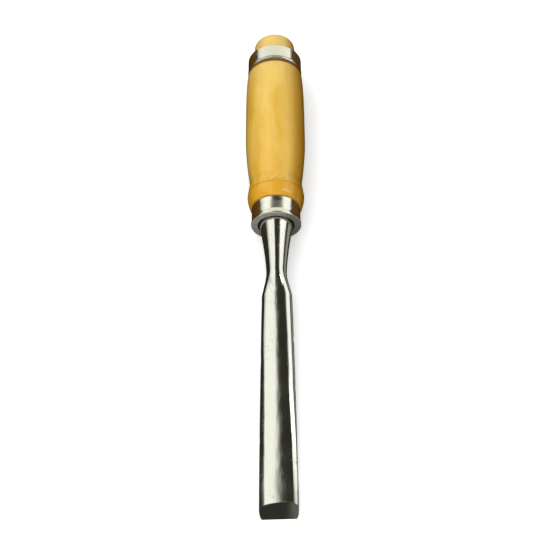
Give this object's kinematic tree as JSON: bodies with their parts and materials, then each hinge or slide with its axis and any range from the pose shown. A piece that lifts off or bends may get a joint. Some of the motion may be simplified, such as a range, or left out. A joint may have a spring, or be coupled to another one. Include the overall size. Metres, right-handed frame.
{
  "type": "bench chisel",
  "caption": "Wood chisel with a straight-edged crowned steel blade, conical bolster, turned varnished wood handle, plated ferrule and steel striking hoop.",
  "frame": {"origin": "middle of the cutting edge, on the flat back of the blade", "axes": "+Y runs from the cutting edge to the butt along the tool, +Z runs from the flat back to the crowned face of the blade, and +X runs across the blade's width"},
  "size_m": [0.0296, 0.2552, 0.0296],
  "materials": {
    "blade_steel": "forged, polished lengthwise and lightly pitted, with a darker ground bevel",
    "ferrule_plate": "bright nickel plate with fine turning lines",
    "handle_wood": "honey-coloured gloss varnish over fine straight grain",
    "hoop_plate": "bright nickel plate, slightly dulled by handling"
  },
  "bodies": {
    "root": {"blade": "blade_steel", "ferrule": "ferrule_plate", "handle": "handle_wood", "striking_hoop": "hoop_plate"}
  },
  "joints": []
}
